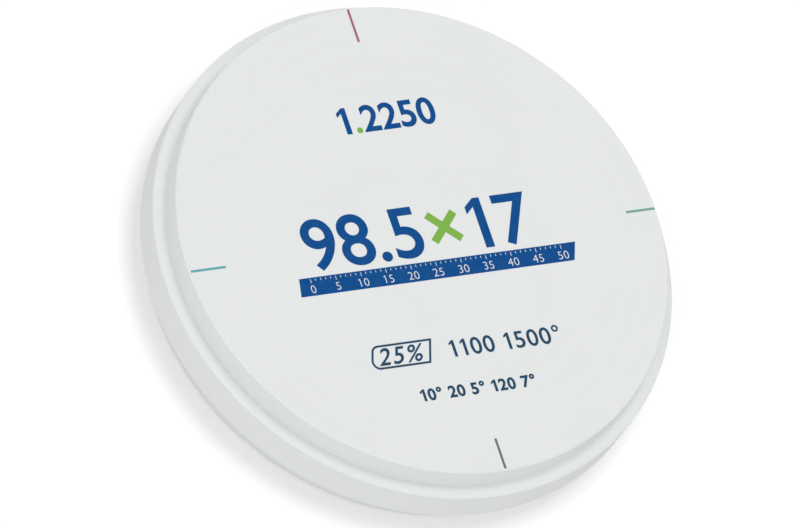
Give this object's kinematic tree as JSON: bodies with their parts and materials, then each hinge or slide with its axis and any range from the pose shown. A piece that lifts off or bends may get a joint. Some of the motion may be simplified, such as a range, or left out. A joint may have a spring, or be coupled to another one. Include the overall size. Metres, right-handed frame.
{
  "type": "dental milling disc",
  "caption": "Round white zirconia blank for dental milling, with a raised clamping flange round its middle, plain plateaus above and below and coloured index marks on one face.",
  "frame": {"origin": "centre of the lower face, on the disc's axis", "axes": "+Z along the disc's axis, out of the printed face; +X towards the green index mark; +Y towards the red index mark"},
  "size_m": [0.0984, 0.0984, 0.017],
  "materials": {
    "zirconia": "chalky pre-fired zirconia, turned, matte",
    "ink_red": "pad-printed ink film",
    "ink_green": "pad-printed ink film",
    "ink_blue": "pad-printed ink film",
    "ink_black": "pad-printed ink film",
    "ink_navy": "pad-printed ink film"
  },
  "bodies": {
    "root": {"zirconia_blank": "zirconia", "index_mark_red": "ink_red", "index_mark_green": "ink_green", "index_mark_blue": "ink_blue", "index_mark_black": "ink_black", "print_bar": "ink_navy", "print_frame": "ink_navy"}
  },
  "joints": []
}
